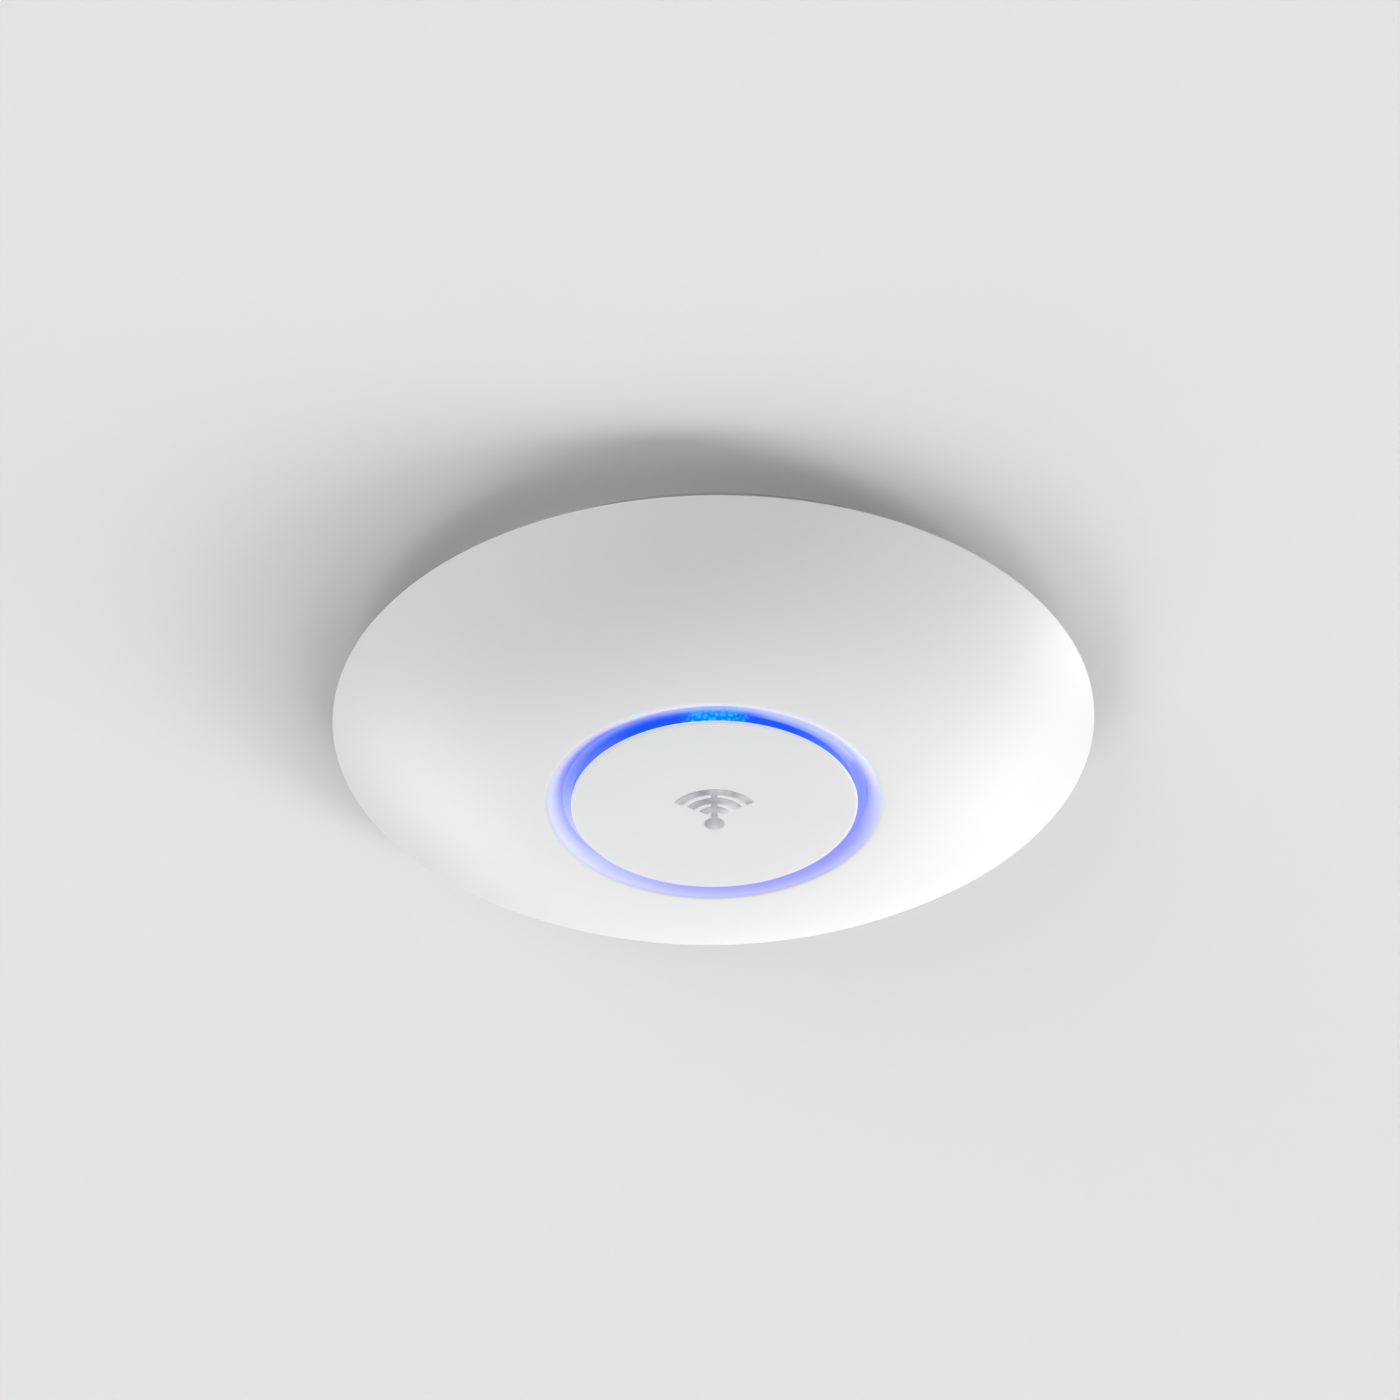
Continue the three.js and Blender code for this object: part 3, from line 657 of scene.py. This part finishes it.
def cap_disc():
    top = COLLAR_Z - 0.1
    inner = GUIDE_BORE_R - 0.3

    def face(r):
        """The dish's height, eased in a little round the sign so that its foil stands level."""
        ease = min(max((SIGN_EASE[1] - r) / (SIGN_EASE[1] - SIGN_EASE[0]), 0.0), 1.0)
        return crown(r) + SIGN_SINK * ease * ease * (3 - 2 * ease)

    profile = [
        *[(r, face(r)) for r in spread(0.0, CAP_R - 0.32, 48)],
        (CAP_R - 0.16, crown(CAP_R) + 0.04),
        (CAP_R - 0.05, crown(CAP_R) + 0.13),
        (CAP_R, crown(CAP_R) + 0.25),
        (CAP_R, top),
        (inner, top),
        (inner, -29.0),
        (inner - 1.5, -29.0),
        (inner - 1.5, -32.2),
        (0.0, -33.1),
    ]
    obj = shape("cap_disc", turned(profile), sharp=30)
    place(obj, "device", "centre_cap", CAP)


def glow_guide():
    profile = rounded(
        [
            (GUIDE_BORE_R, COLLAR_Z, 0),
            (COLLAR_R, COLLAR_Z, 0.12),
            (COLLAR_R, FLANGE_Z, 0.3),
            (FLANGE_R, FLANGE_Z, 0.15),
            (FLANGE_R, GUIDE_TOP, 0),
            (GUIDE_BORE_R, GUIDE_TOP, 0),
        ]
    )
    obj = shape("glow_guide", turned(profile), sharp=30)
    place(obj, "device", "light_guide", GUIDE)


def sign_foil():
    """A plain sign for radio waves: three arches, a mast and a foot."""
    low, high = -DEPTH, SIGN_FACE
    up = Matrix.Translation((0, SIGN_LIFT, 0))
    arches = [arc_band(r, r - SIGN_STROKE, 212, 328, low, high, 56) for r in SIGN_ARCHES]
    mast = block((-0.8, -11.0, low), (0.8, SIGN_FOOT_Y, high))
    joins = [moved(part, up) for part in (mast, *arches)]
    foot = post((0, SIGN_FOOT_Y + SIGN_LIFT), SIGN_FOOT_R, low, high)
    obj = shape("sign_foil", foot, joins, sharp=30)
    place(obj, "device", "emblem", FOIL)


# ---------------------------------------------------------------- the back of the device


def housing():
    under = POCKET_Z - WALL
    skin = rounded(
        [
            (0.0, POCKET_Z, 0),
            (POCKET_R, POCKET_Z, 0.6),
            (POCKET_R, BACK_Z, 0.5),
            (BACK_R - 0.75, BACK_Z, 0.9),
            (97.0, -9.4, 0.4),
            (93.9, -9.4, 0),
            (93.9, -11.0, 0.2),
            (92.2, -11.0, 0.2),
            (92.2, -8.5, 0),
            (86.6, BACK_Z - WALL, 0),
            (POCKET_R + 3, BACK_Z - WALL, 0),
            (POCKET_R + 3, under, 0),
            (0.0, under, 0),
        ]
    )
    well = block(
        (-WELL_X - WALL, WELL_Y0 - WALL, WELL_Z - 1.6),
        (WELL_X + WALL, WELL_Y1 + WALL, under + 0.5),
    )
    bosses = [polar(BOSS_R, a) for a in BOSS_ANGLES]
    studs = [part for a in STUD_ANGLES for part in mushroom(polar(STUD_RING, a))]
    pads = [post(at, PAD_R, PAD_LOW, BACK_Z - 1) for at in bosses]
    window = block(
        (JACK_X[0] - JACK_W / 2 - 0.3, WELL_Y0 - WALL - 1, WELL_Z - 3),
        (JACK_X[1] + JACK_W / 2 + 0.3, WELL_Y0 + 0.5, under),
    )
    reset_hole = post((0, 0), RESET_R + 0.25, WELL_Y0 - WALL - 1, WELL_Y0 + 1, 32)
    standoffs = [polar(STANDOFF_RING, a) for a in STANDOFF_ANGLES]
    cuts = [
        block((-WELL_X, WELL_Y0, WELL_Z), (WELL_X, WELL_Y1, 1.0)),
        window,
        block((-EXIT_X, WELL_Y1 - 1, EXIT_Z), (EXIT_X, EXIT_END + 1, 1.0)),
        laid(reset_hole, (RESET_X, 0, RESET_Z)),
        *[post(at, CLEAR_R, -6.0, 0.0, 32) for at in bosses],
        *[post(at, RECESS_R, BACK_Z - 1.8, 0.0) for at in bosses],
        *[post(at, STANDOFF_HOLE_R, -9.0, under + 1.2, 24) for at in standoffs],
        lock_notch(),
    ]
    joins = [well, cable_shoe(), *pads, *studs]
    obj = shape("housing_shell", turned(skin), joins, cuts, bevel=0.22, sharp=34)
    place(obj, "device", "back_housing", HOUSING)


def mushroom(at):
    """A stud: a neck, and a head whose top edge slopes in."""
    return [
        post(at, STUD_R, POCKET_Z - 1, -2.0, 40),
        post(at, STUD_HEAD_R, HEAD_LOW, HEAD_SHOULDER),
        taper(at, STUD_HEAD_R, STUD_HEAD_R - 0.6, HEAD_SHOULDER, HEAD_TOP),
    ]


def cable_shoe():
    """The trough under the cable exit: flat inside the pocket, and cut to the wall's slope outside."""
    half = EXIT_X + WALL
    low = EXIT_Z - 1.5
    overlap = POCKET_Z - 0.3
    outline = [
        (WELL_Y1, low),
        (96.7, low),
        (BACK_R, BACK_Z - 0.9),
        (BACK_R - 1.0, BACK_Z),
        (POCKET_R + 0.5, BACK_Z),
        (POCKET_R + 0.5, overlap),
        (WELL_Y1, overlap),
    ]
    return prism([(-half, y, z) for y, z in outline], [(half, y, z) for y, z in outline])


def lock_notch():
    """The notch whose floor climbs to the pocket wall as the device is turned."""
    margin = 4.0
    sweep = spread(-margin, TWIST + margin, 40)
    floor = []
    for turn in sweep:
        climb = NOSE_TRAVEL * max(turn - NOSE_REST, 0.0) / TWIST
        floor.append(polar(NOTCH_DEPTH - climb, 270 + turn))
    mouth = [polar(POCKET_R - 1, 270 + turn) for turn in reversed(sweep)]
    return raised(floor + mouth, LEVER_LOW - 0.4, 1.0)


def ceiling_plate():
    web = post((0, 0), PLATE_R, WEB_LOW, WEB_TOP, FINE)
    rim = rounded(
        [
            (PLATE_R - RIM_WALL, WEB_LOW, 0),
            (PLATE_R, WEB_LOW, 0.3),
            (PLATE_R, 0.0, 0.4),
            (PLATE_R - RIM_WALL, 0.0, 0.4),
        ]
    )
    screws = [(i * SCREW_X, j * SCREW_Y) for i in (-1, 1) for j in (-1, 1)]
    ribs = []
    for a, far in PLATE_RIBS:
        ribs.append(spun(block((HUB_R - 1, -RIB_HALF, WEB_LOW), (far, RIB_HALF, RIB_TOP)), a))
    joins = [
        turned(rim),
        post((0, 0), HUB_R, WEB_LOW, 0.0, 96),
        *[post(at, SEAT_R, WEB_LOW, 0.0, 56) for at in screws],
        *ribs,
        post(PIVOT, PIVOT_R, WEB_LOW, LEVER_TOP, 32),
    ]
    low, high = WEB_LOW - 1, WEB_TOP + 1
    cuts = []
    for a in STUD_ANGLES:
        cuts.append(arc_band(STUD_RING + SLOT_HALF, STUD_RING - SLOT_HALF, a - TWIST, a, low, high))
        cuts.append(post(polar(STUD_RING, a), SLOT_HALF, low, high, 40))
        cuts.append(post(polar(STUD_RING, a - TWIST), ENTRY_R, low, high))
    cuts += [post(at, SCREW_HOLE_R, low, 1.0, 40) for at in screws]
    cuts += [taper(at, SINK_R, SCREW_HOLE_R, WEB_LOW - 0.01, WEB_LOW + 2.4, 40) for at in screws]
    cuts += [arc_band(SLIT_OUTER, SLIT_INNER, a, b, low, high) for a, b in PLATE_SLITS]
    port_window = block((-22, 18, low), (22, PLATE_R + 2, 1))
    lever_gap = block((-4.2, -PLATE_R - 1, WEB_TOP), (6.4, -56, 1))
    cuts += [port_window, lever_gap]
    obj = shape("ceiling_plate_moulding", web, joins, cuts, bevel=0.2, sharp=34)
    place(obj, "ceiling_plate", "mounting_plate", PLATE)


def latch_lever():
    px, py = PIVOT
    arm = [
        (px + 1, py + 3),
        (px - 1, py - 3),
        (-NOSE_HALF, -58.2),
        (NOSE_HALF, -58.2),
        (NOSE_HALF + 1.5, -54.0),
        (-3, -52.6),
    ]
    nose = [
        (-NOSE_HALF, -56),
        (-NOSE_HALF, -NOSE_TIP + 1.3),
        (-NOSE_HALF + 0.9, -NOSE_TIP + 0.15),
        (NOSE_HALF - 1.4, -NOSE_TIP + 0.05),
        (NOSE_HALF - 0.3, -NOSE_TIP + 1.0),
        (NOSE_HALF, -NOSE_TIP + 2.0),
        (NOSE_HALF, -56),
    ]
    tab = [(2, -55), (3.7, -54), (9.5, -54.6), (9.5, -56.6), (2, -57.6)]
    hub = post(PIVOT, PIVOT_R + 2.0, LEVER_LOW, LEVER_TOP, 56)
    plans = [raised(plan, LEVER_LOW, LEVER_TOP) for plan in (arm, nose, tab)]
    bore = post(PIVOT, PIVOT_R + 0.3, LEVER_LOW - 1, LEVER_TOP + 1, 40)
    obj = shape("latch_lever", hub, plans, [bore], bevel=0.25, sharp=34)
    place(obj, "lock", "lock_lever", LEVER)


def housing_screws():
    """Pan-head screws with a cross recess, their heads sunk in the housing."""
    head = 1.3
    dome = [
        (0.0, head),
        (1.5, head - 0.04),
        (2.2, head - 0.18),
        (2.65, head - 0.42),
        (2.88, head - 0.8),
        (2.9, 0.0),
        (1.35, 0.0),
        (1.35, -12.4),
        (0.8, -13.0),
        (0.0, -13.0),
    ]
    cross = [spun(block((-1.8, -0.34, head - 0.75), (1.8, 0.34, head + 1)), a) for a in (20, 110)]
    for i, angle in enumerate(BOSS_ANGLES, 1):
        x, y = polar(BOSS_R, angle)
        to = Matrix.Translation((x, y, BACK_Z - 1.75)) @ Matrix.Rotation(math.radians(angle), 4, "Z")
        cuts = [moved(c, to) for c in cross]
        obj = shape(f"back_screw_{i}", moved(turned(dome, 48), to), (), cuts, bevel=0.06)
        place(obj, "device", f"housing_screw_{i}", STEEL)


# ---------------------------------------------------------------- the sockets


def jacks():
    """Sockets cut for the plug's body, for its latch, and a step round the mouth."""
    z = BOARD_TOP
    end = JACK_FRONT - SOCKET_DEPTH
    for i, x in enumerate(JACK_X, 1):
        body = block((x - JACK_W / 2, JACK_BACK, z), (x + JACK_W / 2, JACK_FRONT, z + JACK_H))
        cuts = [
            block((x - 6, end, z + 2.2), (x + 6, JACK_FRONT + 1, z + 10.4)),
            block((x - 3.2, end + 4, z + 9), (x + 3.2, JACK_FRONT + 1, z + 11.6)),
            block((x - 6.8, JACK_FRONT - 0.5, z + 1.5), (x + 6.8, JACK_FRONT + 1, z + 12.0)),
        ]
        obj = shape(f"socket_body_{i}", body, (), cuts, bevel=0.2, sharp=34)
        place(obj, "device", f"network_jack_{i}", JACK)
        comb(i, x, z + 2.35, end + 0.3)


def comb(i, x, z, back):
    """Eight spring contacts, joined at their roots."""
    root = block((x - 4.4, back, z), (x + 4.4, back + 1.6, z + 0.5))
    outermost, half = 3.5 * CONTACT_PITCH, CONTACT_W / 2
    fingers = []
    for at in spread(x - outermost, x + outermost, 7):
        fingers.append(block((at - half, back + 1, z), (at + half, back + 10, z + 0.45)))
    obj = shape(f"spring_contacts_{i}", root, fingers, bevel=0.08, sharp=34)
    place(obj, "device", f"jack_contacts_{i}", BRASS)


def reset_pin():
    tip = rounded(
        [
            (0.0, 0.0, 0),
            (RESET_R, 0.0, 0.2),
            (RESET_R, RESET_Y1 - RESET_Y0, 0.35),
            (0.0, RESET_Y1 - RESET_Y0, 0),
        ]
    )
    pin = laid(turned(tip, 32), (RESET_X, RESET_Y0, RESET_Z))
    obj = shape("reset_pin", pin, sharp=34)
    place(obj, "reset", "reset_button", LEVER)


dish_cover()
cap_disc()
glow_guide()
sign_foil()
housing()
ceiling_plate()
latch_lever()
housing_screws()
jacks()
reset_pin()

# The CAD nodes that no piece stands for keep their shape and take a material.
for name, node in nodes.items():
    if node.hide_render:
        continue
    stem = name.rstrip("0123456789").rstrip("_")
    node.data.materials.clear()
    node.data.materials.append(KEPT_LOOKS[stem])

# ---------------------------------------------------------------- stage, light and camera


def ceiling():
    """A plane just above the object. It blocks no light, so the lamps above it reach the back."""
    half = CEILING_HALF
    mesh = bpy.data.meshes.new("ceiling")
    corners = [(-half, -half, 0.0), (-half, half, 0.0), (half, half, 0.0), (half, -half, 0.0)]
    mesh.from_pydata(corners, [], [(0, 1, 2, 3)])
    obj = bpy.data.objects.new("ceiling", mesh)
    obj.location.z = CEILING_LIFT
    mesh.materials.append(ceiling_material())
    scene.collection.objects.link(obj)
    for ray in ("diffuse", "transmission", "shadow"):
        setattr(obj, f"visible_{ray}", False)


def hang(data, azimuth, elevation, distance):
    """Hangs a lamp in a direction from the object and turns it there; minus is below the ceiling."""
    a, e = math.radians(azimuth), math.radians(elevation)
    away = Vector((math.cos(a) * math.cos(e), math.sin(a) * math.cos(e), math.sin(e)))
    lamp = bpy.data.objects.new(data.name, data)
    lamp.location = away * distance
    lamp.rotation_mode = "QUATERNION"
    lamp.rotation_quaternion = away.to_track_quat("Z", "Y")
    scene.collection.objects.link(lamp)
    return lamp


def back_spot(name, azimuth, elevation, watts):
    """A lamp above the ceiling whose beam ends on the flat back, inside the sloping wall."""
    beam_r = (BACK_R - 3.0) * MM
    data = bpy.data.lights.new(name, "SPOT")
    data.energy = watts
    data.spot_size = 2 * math.atan(beam_r / BACK_LAMP_DISTANCE)
    data.spot_blend = 0.05
    data.shadow_soft_size = BACK_LAMP_SIZE
    lamp = hang(data, azimuth, elevation, BACK_LAMP_DISTANCE)
    lamp.scale.y = math.sin(math.radians(elevation))


def soft_sun(name, azimuth, elevation, strength, softness):
    """Even light from one side."""
    data = bpy.data.lights.new(name, "SUN")
    data.energy = strength
    data.angle = math.radians(softness)
    hang(data, azimuth, elevation, 1.0)


def world(below, above, backdrop):
    """Even light from below the ceiling, less from above it, and a pale backdrop to the camera."""
    made = bpy.data.worlds.new("studio")
    made.use_nodes = True
    tree = made.node_tree
    tree.nodes.clear()
    place_in = tree.nodes.new("ShaderNodeTexCoord").outputs["Generated"]
    split = tree.nodes.new("ShaderNodeSeparateXYZ")
    tree.links.new(place_in, split.inputs[0])
    blur = 0.06
    height = tree.nodes.new("ShaderNodeMapRange")
    height.inputs["From Min"].default_value = -blur
    height.inputs["From Max"].default_value = blur
    height.inputs["To Min"].default_value = below
    height.inputs["To Max"].default_value = above
    tree.links.new(split.outputs[2], height.inputs["Value"])
    light = tree.nodes.new("ShaderNodeBackground")
    tree.links.new(height.outputs["Result"], light.inputs["Strength"])
    seen = tree.nodes.new("ShaderNodeBackground")
    seen.inputs["Strength"].default_value = backdrop
    path = tree.nodes.new("ShaderNodeLightPath")
    mixed = tree.nodes.new("ShaderNodeMixShader")
    tree.links.new(path.outputs["Is Camera Ray"], mixed.inputs[0])
    tree.links.new(light.outputs[0], mixed.inputs[1])
    tree.links.new(seen.outputs[0], mixed.inputs[2])
    out = tree.nodes.new("ShaderNodeOutputWorld")
    tree.links.new(mixed.outputs[0], out.inputs["Surface"])
    scene.world = made


def camera():
    """The photographer's view: from below the ceiling, looking up and towards +Y."""
    distance, elevation, roll = 1.621, math.radians(36.14), math.radians(-0.73)
    pan, tilt, lens, sensor = math.radians(-0.12), math.radians(-0.01), 160.714, 36.0
    c, s = math.cos(elevation), math.sin(elevation)
    ahead = Vector((0.0, c, s))
    up = Vector((0.0, -s, c))
    right = ahead.cross(up)
    aim = (ahead + math.tan(pan) * right + math.tan(tilt) * up).normalized()
    right = aim.cross(up).normalized()
    up = right.cross(aim)
    turned_right = math.cos(roll) * right + math.sin(roll) * up
    turned_up = -math.sin(roll) * right + math.cos(roll) * up
    data = bpy.data.cameras.new("camera")
    data.sensor_width = sensor
    data.lens = lens
    obj = bpy.data.objects.new("camera", data)
    axes = Matrix((turned_right, turned_up, -aim)).transposed().to_4x4()
    obj.matrix_world = Matrix.Translation((0.0, -distance * c, -distance * s)) @ axes
    scene.collection.objects.link(obj)
    scene.camera = obj


camera()
ceiling()
world(0.49, 0.06, 0.82)
soft_sun("key", 30, -17, 2.04, 20)
soft_sun("far_key", 60, -24, 0.97, 30)
soft_sun("left_key", 120, -24, 1.16, 30)
soft_sun("near_fill", 240, -10, 1.48, 30)
soft_sun("far_rim", 95, -5, 0.13, 30)
soft_sun("back_sun", 62, 30, 1.3, 10)
back_spot("back_key", 20, 50, 92.0)
back_spot("back_fill", 200, 60, 55.0)
